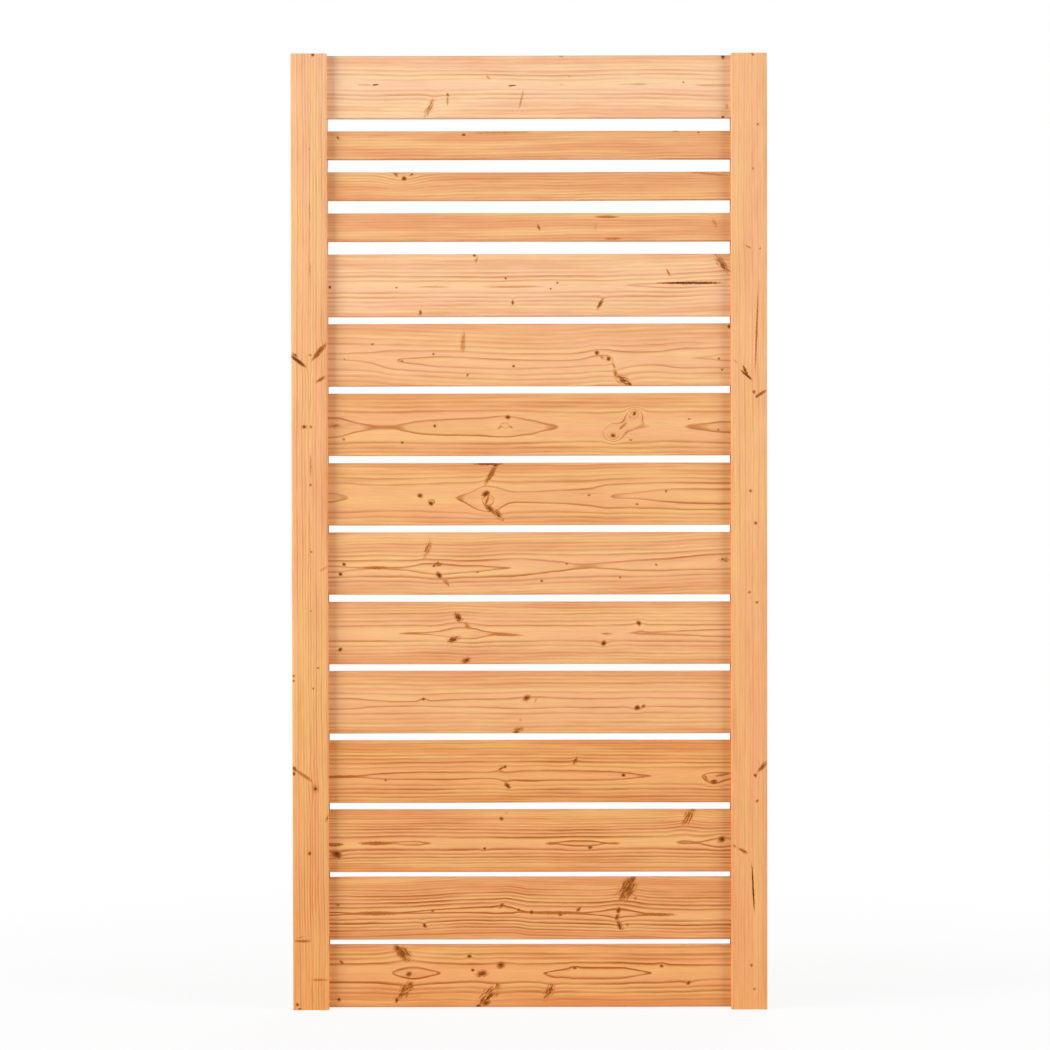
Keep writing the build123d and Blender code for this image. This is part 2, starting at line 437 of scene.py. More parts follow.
            Knot(432, 910, 10, 7, 20, 0.68), Knot(424, 925, 13, 7, -60, 1, 0.4),
            Knot(501, 905, 17, 9, 40, 0.83, 0.3), Knot(518, 909.5, 9, 7, 0, 0.77),
            Knot(531, 912, 11, 9, 0, 0.88), Knot(559.6, 914, 11, 9, 0, 0.77),
            Knot(578, 909, 16, 7, 50, 0.87), Knot(627, 888, 58, 33, 60, 0.84, 1),
            Knot(632, 879, 20, 14, 50, 0.86), Knot(622, 894, 24, 10, 60, 0.86),
            Knot(618, 910, 14, 11, 60, 0.96), Knot(616.5, 917, 16, 10, 60, 0.84),
            Knot(619, 925, 24, 11, -65, 1, 0.4), Knot(635, 898, 9, 7, 0, 0.61),
            Knot(627, 924.5, 8, 7, 0, 0.61),
        ),
    ),
    "board_11": Timber(
        middle=976.2, near=16, turn=32, line=4, warmth_and_shade=(0.87, 0.87), contrast=0.74,
        heart=((329, 973), (731, 973)),
        figure=(
            (329, 1.3, 0), (380, 1.1, 0), (398, 1.02, 0), (406, 1, 0), (412, 1, 4), (419, 1, 4.3),
            (428, 1, 2.4), (435.6, 1, 0), (460, 1.15, 0), (490, 1.25, 0), (525, 1.1, 0), (542, 1.01, 0),
            (545, 1, 0), (556, 1, 6), (566, 1, 10), (598, 1, 13.2), (630, 1, 10), (642, 1, 5.5),
            (652, 1, 0), (680, 1.3, 0), (731, 1.5, 0),
        ),
        knots=(
            Knot(402, 953, 46, 26, -42, 0.82, 0.6), Knot(397, 948.5, 22, 13, -40, 0.9),
            Knot(408, 974, 15, 11, 20, 0.9), Knot(404, 991, 46, 22, 52, 0.82, 0.3),
            Knot(409, 984, 14, 10, 40, 0.77), Knot(395.5, 1000, 14, 8, 80, 1),
            Knot(340.6, 962, 13, 7, -40, 0.77), Knot(337.7, 999.4, 8, 9, 0, 1),
            Knot(468.6, 956, 10, 9, 0, 0.94, 0.3), Knot(500, 965, 20, 16, 20, 0.86, 0.1),
            Knot(500, 965, 10, 8, 20, 1), Knot(481, 973.5, 25, 15, 10, 0.94),
            Knot(472, 970, 8, 7, 0, 0.94), Knot(488, 995, 54, 25, 47, 0.84, 0.4),
            Knot(485, 1003, 20, 12, 20, 1), Knot(477.5, 1006, 14, 8, 25, 1),
            Knot(496, 984, 7, 6, 0, 0.66), Knot(574, 968, 9, 7, -20, 0.88, 0.3),
            Knot(661, 966, 9, 8, 0, 0.83, 0.3), Knot(688, 983, 12, 8, 45, 0.86, 0.3),
            Knot(548.5, 991, 36, 16, 62, 0.85, 0.3),
        ),
    ),
    # Deeper towards its foot than its top: partly painted shade, where light falls off towards the bottom
    "left_stile": Timber(
        middle=309.5, near=5, turn=160, warmth_and_shade=(0.98, 0.42), contrast=0.38,
        heart=((310.5, 55), (309, 560), (311, 1010)),
        figure=(
            (55, 0.6, 0), (200, 0.95, 0), (330, 0.7, 0), (480, 0.98, 0), (640, 0.6, 0), (760, 0.9, 0),
            (880, 0.7, 0), (1010, 0.9, 0),
        ),
        knots=(
            Knot(314, 55.5, 8, 6, 0, 0.94, 0.4), Knot(310.5, 149, 5, 4, 0, 0.55),
            Knot(310.5, 211, 44, 3, 90, 0.4), Knot(310.5, 268, 36, 3, 90, 0.4),
            Knot(310.5, 465, 50, 4, 90, 0.46), Knot(298, 360, 38, 7, -38, 0.96, 0.4),
            Knot(295, 354, 16, 6, -35, 0.77), Knot(319.5, 351, 44, 10, 51, 0.7, 0.4),
            Knot(321, 378.5, 26, 8, 35, 0.77), Knot(310.5, 354.5, 8, 5, 0, 0.55),
            Knot(304.4, 426, 9, 8, 0, 0.94, 0.3), Knot(304, 426, 28, 10, 0, 0.3),
            Knot(311, 426, 7, 6, 90, 0.66), Knot(310.5, 484, 7, 6, 90, 0.61),
            Knot(311, 551, 7, 5, 0, 0.61), Knot(323, 568, 24, 7, 30, 0.41),
            Knot(310.5, 610, 6, 5, 0, 0.55), Knot(317.4, 667, 7, 5, 0, 0.61),
            Knot(293, 675, 6, 6, 0, 0.72), Knot(293, 680, 6, 6, 0, 0.72),
            Knot(312.7, 687.5, 6, 5, 90, 0.61), Knot(293.5, 768, 15, 8, -50, 1, 0.4),
            Knot(293, 773, 7, 10, 0, 0.88), Knot(303, 775, 46, 7, -35, 0.54),
            Knot(314.3, 788, 9, 9, 0, 1), Knot(314.3, 788, 20, 24, 0, 0.44, 0.5),
            Knot(308.7, 853, 8, 9, 0, 0.94), Knot(308.7, 853, 16, 16, 0, 0.25),
            Knot(326, 818, 20, 7, 70, 0.54), Knot(301, 941, 34, 6, 0, 0.58),
            Knot(299, 937, 16, 5, 10, 0.44), Knot(318, 980, 34, 6, 0, 0.46),
            Knot(320, 983, 5, 14, 0, 0.37), Knot(295.8, 1005, 9, 8, 0, 0.83),
            Knot(298, 1009, 8, 4, 0, 0.99),
        ),
        cuts=(
            Cut(298, 361, 26, 1.4, -38, 0.8), Cut(319.5, 351, 24, 1, 51, 0.6),
            Cut(321, 378.5, 12, 1, 35, 0.6),
        ),
    ),
    # Deeper towards its foot than its top: partly painted shade, where light falls off towards the bottom
    "right_stile": Timber(
        middle=749.2, near=5, turn=160, warmth_and_shade=(0.87, 0.53), contrast=0.22,
        heart=((748, 55), (749, 560), (748, 1010)),
        figure=(
            (55, 0.9, 0), (180, 0.6, 0), (330, 0.95, 0), (450, 0.7, 0), (600, 0.97, 0), (760, 0.6, 0),
            (880, 0.95, 0), (1010, 0.7, 0),
        ),
        knots=(
            Knot(752.5, 55.5, 8, 5, -30, 0.77), Knot(757.6, 125, 6, 6, 0, 0.66),
            Knot(752.8, 169, 6, 5, 90, 0.61), Knot(748, 247, 18, 5, -30, 0.5, 0.3),
            Knot(760, 249, 7, 5, 30, 0.5), Knot(756.5, 330, 172, 4, 88, 0.55),
            Knot(745.3, 370.6, 22, 5, -63, 0.82, 0.4), Knot(746.4, 375, 29, 5, -41, 0.88),
            Knot(735, 361, 14, 3.5, -42, 0.36), Knot(754, 392, 8, 8, 0, 0.77),
            Knot(761, 393.5, 25, 6, 33, 0.74), Knot(757, 396, 10, 6, 30, 1),
            Knot(750.4, 490.6, 7, 7, 0, 0.77), Knot(755.4, 523, 7, 7, 0, 0.77),
            Knot(749, 592, 8, 6, 0, 0.61), Knot(756.8, 602, 8, 7, 30, 0.66),
            Knot(762, 767, 32, 9, 50, 0.9, 0.4), Knot(755, 775.5, 10, 7, -40, 0.88, 0.3),
            Knot(757, 801, 9, 6, 50, 0.77), Knot(742.5, 851, 26, 7, -30, 0.83, 0.4),
            Knot(734, 846, 14, 6, -35, 0.51), Knot(752.8, 888, 92, 3.5, 93, 0.88),
            Knot(751.3, 966, 7, 7, 90, 0.72), Knot(754, 990, 7, 6, 90, 0.55),
        ),
        cuts=(
            Cut(756.5, 342, 110, 1.1, 88, 0.5), Cut(752.8, 888, 86, 2.2, 93, 1.5),
            Cut(746.4, 375, 24, 1.4, -41, 0.8),
        ),
    ),
}

# Colours of the wood, from its palest to its warmest pieces, and of the stains round knots. The deep end
# also serves as painted shade on the lower boards and the feet of the stiles
PALE_WOOD = {"early": "F8CAA6", "edge": "F1B98F", "sap": "F9D1A2", "late": "CF7E38"}
WARM_WOOD = {"early": "EEA664", "edge": "E1924F", "sap": "EFB368", "late": "AA5614"}
STAINS = ((0.0, "DC9350"), (0.4, "C0722F"), (0.72, "8E4A16"), (1.0, "421A07"))

# Steel of the screws, and the size of its scuffs
LIGHT_STEEL = "9A9893"
DARK_STEEL = "7C7A76"
SCUFF_SPAN_MM = 0.6

# The floor is plain white far from the panel, and near it keeps some shading, and so a shadow
PAPER = "F3F3F3"
WHITE = "FFFFFF"
FLOOR_HALF = 30.0
FLOOR_NEAR = 0.6
FLOOR_FAR = 2.2
FLOOR_NEAR_WHITE = 0.88

# Where the lamps point, and the strength of the white surround as a light
PANEL_MIDDLE = (0, 0, 0.9)
AMBIENT_STRENGTH = 0.22

# A camera that sees the panel as the photograph shows it
SENSOR_MM = 36.0
LENS_MM = 109.4
CAMERA_DISTANCE = 6.0
CAMERA_ASIDE = -0.0085
CAMERA_HEIGHT = 1.027
CAMERA_PITCH = math.radians(1.072)
CAMERA_ROLL = math.radians(-0.1)

# Sockets of a Mix node that mixes colours
MIX_FACTOR = 0
MIX_A = 6
MIX_B = 7
MIX_RESULT = 2


def linear(hex_colour):
    """The linear colour, with alpha, of an sRGB hex value."""
    channels = []
    for start in (0, 2, 4):
        value = int(hex_colour[start:start + 2], 16) / 255
        channels.append(value / 12.92 if value <= 0.04045 else ((value + 0.055) / 1.055) ** 2.4)
    return (*channels, 1.0)


def between(pale, warm, share):
    """The linear colour that lies at this share of the way between two hex colours."""
    return tuple(a + (b - a) * share for a, b in zip(linear(pale), linear(warm)))


def add(tree, kind, inputs=(), **settings):
    """Adds a node. Its inputs, in order or by name, take a value, a socket or a node's first output."""
    node = tree.nodes.new(kind)
    for name, value in settings.items():
        setattr(node, name, value)
    named = inputs if isinstance(inputs, dict) else dict(enumerate(inputs))
    for key, value in named.items():
        if isinstance(value, bpy.types.Node):
            value = value.outputs[0]
        if isinstance(value, bpy.types.NodeSocket):
            tree.links.new(value, node.inputs[key])
        else:
            node.inputs[key].default_value = value
    return node


def new_tree(name, kind, inputs, outputs):
    """A node tree with these named sockets, the sockets it is given and the node for its results."""
    tree = bpy.data.node_groups.new(name, kind)
    for direction, sockets in (("INPUT", inputs), ("OUTPUT", outputs)):
        for socket_name, socket_kind in sockets:
            tree.interface.new_socket(
                socket_name, in_out=direction, socket_type="NodeSocket" + socket_kind,
            )
    return tree, tree.nodes.new("NodeGroupInput").outputs, tree.nodes.new("NodeGroupOutput")


def new_material(name):
    """A material with nodes, and its tree."""
    material = bpy.data.materials.new(name)
    material.use_nodes = True
    return material, material.node_tree


def new_object(name, data):
    """An object in the scene that holds this mesh, lamp or camera."""
    holder = bpy.data.objects.new(name, data)
    bpy.context.scene.collection.objects.link(holder)
    return holder


def point_in_millimetres(tree):
    """The point that is shaded, in the piece's own frame."""
    coordinates = add(tree, "ShaderNodeTexCoord")
    return add(
        tree, "ShaderNodeVectorMath",
        {0: coordinates.outputs["Object"], "Scale": 1 / MM}, operation="SCALE",
    )


def grain_noise(tree, point, seed, along_mm, across_mm, detail):
    """Noise in patches of this length along the grain and this width across it."""
    stretched = add(
        tree, "ShaderNodeVectorMath",
        (point, (1 / along_mm, 1 / across_mm, 1 / across_mm)), operation="MULTIPLY",
    )
    return add(
        tree, "ShaderNodeTexNoise",
        {"Vector": stretched, "W": seed, "Scale": 1, "Detail": detail}, noise_dimensions="4D",
    )


def growth_rings():
    """Rings of a log cut lengthwise. The point is along, across and into the wood, in millimetres."""
    tree, given, result = new_tree(
        "growth rings", "ShaderNodeTree",
        (
            ("Point", "Vector"), ("Figure", "Float"), ("Near", "Float"), ("Turn", "Float"),
            ("Line", "Float"), ("Swirl", "Float"), ("Outlines", "Float"), ("Seed", "Float"),
        ),
        (("Late", "Float"), ("Tone", "Float"), ("Away", "Float")),
    )
    place = add(tree, "ShaderNodeSeparateXYZ", (given["Point"],))
    sway = grain_noise(tree, given["Point"], given["Seed"], SWAY_ALONG_MM, SWAY_ACROSS_MM, 1)
    tremble = grain_noise(tree, given["Point"], given["Seed"], TREMBLE_ALONG_MM, TREMBLE_ACROSS_MM, 2)
    swayed = add(tree, "ShaderNodeMath", (sway, SWAY_MM, -SWAY_MM / 2), operation="MULTIPLY_ADD")
    trembled = add(
        tree, "ShaderNodeMath", (tremble, TREMBLE_MM, -TREMBLE_MM / 2), operation="MULTIPLY_ADD",
    )
    moved = add(tree, "ShaderNodeMath", (swayed, trembled), operation="ADD")
    across = add(tree, "ShaderNodeMath", (moved, place.outputs["Y"]), operation="ADD")
    away = add(tree, "ShaderNodeMath", (across,), operation="ABSOLUTE")

    # The rings stand far apart at the heart line and crowd together away from it
    even = add(tree, "ShaderNodeMath", (away, given["Near"]), operation="DIVIDE")
    turned = add(tree, "ShaderNodeMath", (away, given["Turn"]), operation="DIVIDE")
    aside = add(tree, "ShaderNodeMath", (turned, turned, even), operation="MULTIPLY_ADD")
    inward = add(
        tree, "ShaderNodeMath",
        (place.outputs["Z"], 1 / RING_DEPTH_MM, given["Figure"]), operation="MULTIPLY_ADD",
    )
    aside_square = add(tree, "ShaderNodeMath", (aside, aside), operation="MULTIPLY")
    square = add(tree, "ShaderNodeMath", (inward, inward, aside_square), operation="MULTIPLY_ADD")
    radius = add(tree, "ShaderNodeMath", (square,), operation="SQRT")
    ring = add(tree, "ShaderNodeMath", (radius, given["Swirl"]), operation="ADD")
    part = add(tree, "ShaderNodeMath", (ring,), operation="FRACT")
    whole = add(tree, "ShaderNodeMath", (ring,), operation="FLOOR")

    # The dark latewood takes up the last part of each ring: it sets in softly and stops sharply
    per_near = add(tree, "ShaderNodeMath", (1.0, given["Near"]), operation="DIVIDE")
    per_turn = add(tree, "ShaderNodeMath", (turned, given["Turn"]), operation="DIVIDE")
    crowded = add(tree, "ShaderNodeMath", (per_turn, 2.0, per_near), operation="MULTIPLY_ADD")
    steep = add(tree, "ShaderNodeMath", (aside, radius), operation="DIVIDE")
    per_mm = add(tree, "ShaderNodeMath", (crowded, steep), operation="MULTIPLY")
    wide = add(tree, "ShaderNodeMath", (per_mm, given["Line"]), operation="MULTIPLY")
    least = add(tree, "ShaderNodeMath", (LEAST_LATEWOOD_MM, per_near), operation="MULTIPLY")
    share = add(tree, "ShaderNodeClamp", {"Value": wide, "Min": least, "Max": MOST_LATEWOOD})
    start = add(tree, "ShaderNodeMath", (share, -LINE_SETS_IN, 1), operation="MULTIPLY_ADD")
    full = add(tree, "ShaderNodeMath", (share, -LINE_FULL, 1), operation="MULTIPLY_ADD")
    stop = add(tree, "ShaderNodeMath", (share, -LINE_STOPS, 1), operation="MULTIPLY_ADD")
    rise = add(
        tree, "ShaderNodeMapRange",
        {"Value": part, "From Min": start, "From Max": full}, interpolation_type="SMOOTHSTEP",
    )
    drop = add(
        tree, "ShaderNodeMapRange",
        {"Value": part, "From Min": stop, "From Max": 1, "To Min": 1, "To Max": 0},
        interpolation_type="SMOOTHSTEP",
    )
    year = add(tree, "ShaderNodeMath", (whole, given["Seed"]), operation="ADD")
    luck = add(tree, "ShaderNodeTexWhiteNoise", {"W": year}, noise_dimensions="1D")
    strength = add(
        tree, "ShaderNodeMapRange",
        {"Value": luck, "To Min": FAINTEST_YEAR, "To Max": STRONGEST_YEAR},
    )
    inmost = add(tree, "ShaderNodeMath", (whole, given["Outlines"]), operation="LESS_THAN")
    clear = add(tree, "ShaderNodeMath", (inmost, OUTLINE_STRENGTH), operation="MULTIPLY")
    strongest = add(tree, "ShaderNodeMath", (clear, strength), operation="MAXIMUM")
    line = add(tree, "ShaderNodeMath", (rise, drop), operation="MULTIPLY")
    late = add(tree, "ShaderNodeMath", (line, strongest), operation="MULTIPLY")
    tree.links.new(late.outputs[0], result.inputs["Late"])
    tree.links.new(part.outputs[0], result.inputs["Tone"])
    tree.links.new(away.outputs[0], result.inputs["Away"])
    return tree


def knot_in_wood():
    """A knot in the face, which adds its stain and its push on the rings to those of earlier knots."""
    tree, given, result = new_tree(
        "knot", "ShaderNodeTree",
        (
            ("Point", "Vector"), ("Place", "Vector"), ("Lean", "Vector"), ("Size", "Vector"),
            ("Dark", "Float"), ("Pith", "Float"), ("Ragged", "Float"), ("Bend", "Float"),
            ("Stain", "Float"), ("Swirl", "Float"),
        ),
        (("Stain", "Float"), ("Swirl", "Float")),
    )
    inside = add(
        tree, "ShaderNodeMapping",
        {
            "Vector": given["Point"], "Location": given["Place"], "Rotation": given["Lean"],
            "Scale": given["Size"],
        },
        vector_type="TEXTURE",
    )
    away = add(tree, "ShaderNodeVectorMath", (inside,), operation="LENGTH").outputs["Value"]

    # Torn fibres run along a knot, so its outline is ragged and its brown is streaked
    torn_point = add(
        tree, "ShaderNodeVectorMath", (inside, TORN_PATCHES, given["Place"]), operation="MULTIPLY_ADD",
    )
    torn = add(tree, "ShaderNodeTexNoise", {"Vector": torn_point, "Scale": 1, "Detail": 2})
    torn_centred = add(
        tree, "ShaderNodeMath", (torn, TORN_REACH, -TORN_REACH / 2), operation="MULTIPLY_ADD",
    )
    uneven = add(
        tree, "ShaderNodeMath", (torn_centred, given["Ragged"], away), operation="MULTIPLY_ADD",
    )
    rim = add(
        tree, "ShaderNodeMapRange",
        {"Value": uneven, "From Min": 1.35, "From Max": 0.6}, interpolation_type="SMOOTHSTEP",
    )
    beyond_pith = add(
        tree, "ShaderNodeMapRange",
        {"Value": uneven, "From Min": 0.15, "From Max": 0.85, "To Max": given["Pith"]},
        interpolation_type="SMOOTHSTEP",
    )
    pith = add(tree, "ShaderNodeMath", (1.0, beyond_pith), operation="SUBTRACT")
    core = add(tree, "ShaderNodeMath", (rim, pith), operation="MULTIPLY")
    streak = add(
        tree, "ShaderNodeMapRange",
        {"Value": torn, "From Min": 0.44, "From Max": 0.62, "To Max": 0.52},
        interpolation_type="SMOOTHSTEP",
    )
    paler = add(tree, "ShaderNodeMath", (streak, given["Ragged"]), operation="MULTIPLY")
    kept = add(tree, "ShaderNodeMath", (1.0, paler), operation="SUBTRACT")
    browned = add(tree, "ShaderNodeMath", (kept, given["Dark"]), operation="MULTIPLY")
    shade = add(tree, "ShaderNodeMath", (core, browned), operation="MULTIPLY")
    stain = add(tree, "ShaderNodeMath", (shade, given["Stain"]), operation="MAXIMUM")
    square = add(tree, "ShaderNodeMath", (away, away), operation="MULTIPLY")
    spread = add(tree, "ShaderNodeMath", (square, -PUSH_FALL), operation="MULTIPLY")
    bump = add(tree, "ShaderNodeMath", (spread,), operation="EXPONENT")
    pushed = add(tree, "ShaderNodeMath", (bump, given["Bend"]), operation="MULTIPLY")
    swirl = add(tree, "ShaderNodeMath", (given["Swirl"], pushed), operation="SUBTRACT")
    tree.links.new(stain.outputs[0], result.inputs["Stain"])
    tree.links.new(swirl.outputs[0], result.inputs["Swirl"])
    return tree


def photo_place(piece, x, y):
    """The point of a piece's front, in mm along X and Z, that shows at this pixel of the photograph."""
    low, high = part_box(piece)
    timber = TIMBERS[piece]
    if piece.endswith("stile"):
        middle = (low[0] + high[0]) / 2 / MM
        across = middle + (x - timber.middle) * STILE_MM_PER_PIXEL
        return across, (PHOTO_FOOT_Y - y) * STILE_MM_PER_PIXEL
    middle = (low[2] + high[2]) / 2 / MM
    level = middle + (timber.middle - y) * BOARD_MM_PER_PIXEL
    return (x - PHOTO_CENTER_X) * BOARD_MM_PER_PIXEL, level


def raggedness(mark):
    """How ragged a knot is: 1 for a broad spike, and less for a round knot, a small one or a streak."""
    spiky = (mark.long / mark.wide - ROUND_RATIO) / (SPIKE_RATIO - ROUND_RATIO)
    torn = STREAK_RAGGED if mark.long > STREAK_RATIO * mark.wide else 1
    return torn * min(1, mark.wide / RAGGED_FROM_MM) * min(1, max(LEAST_RAGGED, spiky))


def pith_depth(mark):
    """How much darker a knot's pith is than its rim, which is little in a streak."""
    return KNOT_PITH if mark.long < STREAK_RATIO * mark.wide else STREAK_PITH


def along_piece(tree, along, spots):
    """A value that changes smoothly along a piece, through spots of (share of the length, value)."""
    ordered = sorted(spots)
    least = min(value for share, value in ordered)
    span = max(max(value for share, value in ordered) - least, 0.001)
    line = add(tree, "ShaderNodeFloatCurve", {"Value": along})
    curve = line.mapping.curves[0]
    curve.points[0].location = (0, (ordered[0][1] - least) / span)
    curve.points[1].location = (1, (ordered[-1][1] - least) / span)
    for share, value in ordered:
        curve.points.new(share, (value - least) / span).handle_type = "AUTO_CLAMPED"
    line.mapping.update()
    return add(tree, "ShaderNodeMapRange", {"Value": line, "To Min": least, "To Max": least + span})


def planed_softwood(piece, seed, rings, knot):
    """Planed raw softwood: dull satin and orange-pink, with brown latewood lines and dark knots."""
    timber = TIMBERS[piece]
    upright = piece.endswith("stile")
    low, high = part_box(piece)
    material, tree = new_material("planed_softwood_" + piece)
    shader = tree.nodes["Principled BSDF"]

    # The point in millimetres, as seen from the front, and as along, across and into the wood
    axes = add(tree, "ShaderNodeSeparateXYZ", (point_in_millimetres(tree),))
    face = add(tree, "ShaderNodeCombineXYZ", (axes.outputs["X"], axes.outputs["Z"], axes.outputs["Y"]))
    along_axis = 2 if upright else 0
    start = low[along_axis] / MM
    length = (high[along_axis] - low[along_axis]) / MM
    along = add(
        tree, "ShaderNodeMapRange",
        {"Value": axes.outputs["XYZ"[along_axis]], "From Min": start, "From Max": start + length},
    )
    if upright:
        turned = add(
            tree, "ShaderNodeCombineXYZ", (axes.outputs["Z"], axes.outputs["X"], axes.outputs["Y"]),
        )
    else:
        turned = face

    # The heart line, and how many rings lie between it and the face, along the piece
    hearts = []
    for x, y in timber.heart:
        place = photo_place(piece, x, y)
        hearts.append(((place[upright] - start) / length, place[not upright]))
    heart = along_piece(tree, along, hearts)
    heart_line = add(tree, "ShaderNodeCombineXYZ", (0.0, heart, low[1] / MM))
    inner = add(tree, "ShaderNodeVectorMath", (turned, heart_line), operation="SUBTRACT")
    depths = []
    for pixel, ring, half in timber.figure:
        place = photo_place(piece, pixel, pixel)
        aside = half / timber.near + (half / timber.turn) ** 2
        depths.append(((place[upright] - start) / length, math.sqrt(max(ring ** 2 - aside ** 2, 0))))
    figure_rings = along_piece(tree, along, depths)

    # The rings up to the last one that outlines a cathedral are drawn clear
    outlines = max((ring for pixel, ring, half in timber.figure if half), default=0) - 0.5

    # The knots, with outlines that a little noise makes uneven
    wobble = add(tree, "ShaderNodeTexNoise", {"Vector": face, "Scale": 1 / WOBBLE_SPAN_MM, "Detail": 2})
    wobbled = add(
        tree, "ShaderNodeVectorMath",
        (wobble.outputs["Color"], (WOBBLE_MM, WOBBLE_MM, 0), face), operation="MULTIPLY_ADD",
    )
    knot_point = add(
        tree, "ShaderNodeVectorMath",
        (wobbled, (WOBBLE_MM / 2, WOBBLE_MM / 2, 0)), operation="SUBTRACT",
    )
    stain = 0.0
    swirl = 0.0
    for mark in timber.knots:
        made = add(
            tree, "ShaderNodeGroup",
            {
                "Point": knot_point, "Place": (*photo_place(piece, mark.x, mark.y), 0),
                "Lean": (0, 0, math.radians(mark.lean)),
                "Size": (mark.long / 2, mark.wide / 2, KNOT_RUN_MM), "Dark": mark.dark,
                "Pith": pith_depth(mark), "Ragged": raggedness(mark), "Bend": mark.bend, "Stain": stain,
                "Swirl": swirl,
            },
            node_tree=knot,
        )
        stain = made.outputs["Stain"]
        swirl = made.outputs["Swirl"]

    lines = add(
        tree, "ShaderNodeGroup",
        {
            "Point": inner, "Figure": figure_rings, "Near": timber.near, "Turn": timber.turn,
            "Line": timber.line, "Swirl": swirl, "Outlines": outlines, "Seed": float(seed),
        },
        node_tree=rings,
    )

    # Clouds, long bands, streaks and fine fibres
    noises = {}
    for name, (along_mm, across_mm) in WOOD_NOISE_MM.items():
        noises[name] = grain_noise(tree, inner, float(seed), along_mm, across_mm, 2)

    # Wood between the lines: paler at the heart, warmer towards the edges, cloudy and streaked
    outer = add(
        tree, "ShaderNodeMapRange",
        {"Value": lines.outputs["Away"], "From Min": PALE_HEART_MM, "From Max": WARM_EDGE_MM},
        interpolation_type="SMOOTHSTEP",
    )
    clouded = add(
        tree, "ShaderNodeMath",
        (noises["cloud"], CLOUD_SHIFT, -CLOUD_SHIFT / 2), operation="MULTIPLY_ADD",
    )
    streaked = add(
        tree, "ShaderNodeMath",
        (noises["streak"], STREAK_SHIFT, -STREAK_SHIFT / 2), operation="MULTIPLY_ADD",
    )
    uneven = add(tree, "ShaderNodeMath", (clouded, streaked), operation="ADD")
    edge_share = add(tree, "ShaderNodeMath", (outer, uneven), operation="ADD", use_clamp=True)
    # The tints run from a piece's start to its end. The pale-to-deep share is partly painted shade, so
    # the stiles deepen towards their feet
    tints = {}
    for part in PALE_WOOD:
        first, last = (between(PALE_WOOD[part], WARM_WOOD[part], warmth_and_shade) for warmth_and_shade in timber.warmth_and_shade)
        tints[part] = add(
            tree, "ShaderNodeMix", {MIX_FACTOR: along, MIX_A: first, MIX_B: last}, data_type="RGBA",
        ).outputs[MIX_RESULT]
    heartwood = add(
        tree, "ShaderNodeMix",
        {MIX_FACTOR: edge_share, MIX_A: tints["early"], MIX_B: tints["edge"]}, data_type="RGBA",
    )
    sap_share = add(
        tree, "ShaderNodeMapRange",
        {"Value": noises["band"], "From Min": 0.42, "From Max": 0.64, "To Max": 0.85},
        interpolation_type="SMOOTHSTEP",
    )
    ground = add(
        tree, "ShaderNodeMix",
        {MIX_FACTOR: sap_share, MIX_A: heartwood.outputs[MIX_RESULT], MIX_B: tints["sap"]},
        data_type="RGBA",
    )

    # Latewood lines, which come and go along the grain and are softer away from the heart line
    soft = add(tree, "ShaderNodeMath", (outer, -EDGE_FAINTNESS, 1), operation="MULTIPLY_ADD")
    fading = add(
        tree, "ShaderNodeMapRange",
        {"Value": noises["cloud"], "From Min": 0.3, "From Max": 0.65, "To Min": 0.45, "To Max": 1.2},
    )
    faded = add(tree, "ShaderNodeMath", (soft, fading), operation="MULTIPLY")
    toned = add(
        tree, "ShaderNodeMath",
        (lines.outputs["Tone"], RING_SHADING, lines.outputs["Late"]), operation="MULTIPLY_ADD",
    )
    softened = add(tree, "ShaderNodeMath", (toned, faded), operation="MULTIPLY")
    line_share = add(
        tree, "ShaderNodeMath", (softened, timber.contrast), operation="MULTIPLY", use_clamp=True,
    )
    lined = add(
        tree, "ShaderNodeMix",
        {MIX_FACTOR: line_share, MIX_A: ground.outputs[MIX_RESULT], MIX_B: tints["late"]},
        data_type="RGBA",
    )
    fibre_shade = add(
        tree, "ShaderNodeMapRange",
        {"Value": noises["fibre"], "From Min": 0.3, "From Max": 0.7, "To Min": 0.92, "To Max": 1.06},
    )
    grained = add(
        tree, "ShaderNodeVectorMath",
        {0: lined.outputs[MIX_RESULT], "Scale": fibre_shade}, operation="SCALE",
    )

    # Stains of the knots, broken up by a fine mottling
    mottle = add(tree, "ShaderNodeTexNoise", {"Vector": face, "Scale": 1 / MOTTLE_SPAN_MM, "Detail": 2})
    mottled = add(
        tree, "ShaderNodeMapRange",
        {"Value": mottle, "From Min": 0.3, "From Max": 0.7, "To Min": 0.75, "To Max": 1.15},
    )
    stained = add(tree, "ShaderNodeMath", (stain, mottled), operation="MULTIPLY", use_clamp=True)
    stain_colour = add(tree, "ShaderNodeValToRGB", {"Fac": stained})
    ramp = stain_colour.color_ramp
    for position, colour in STAINS[1:-1]:
        ramp.elements.new(position)
    for element, (position, colour) in zip(ramp.elements, STAINS):
        element.position = position
        element.color = linear(colour)
    stain_share = add(
        tree, "ShaderNodeMapRange",
        {"Value": stained, "From Min": 0.03, "From Max": 0.55, "To Max": 0.97},
        interpolation_type="SMOOTHSTEP",
    )
    coloured = add(
        tree, "ShaderNodeMix",
        {MIX_FACTOR: stain_share, MIX_A: grained, MIX_B: stain_colour}, data_type="RGBA",
    )
    tree.links.new(coloured.outputs[MIX_RESULT], shader.inputs["Base Color"])

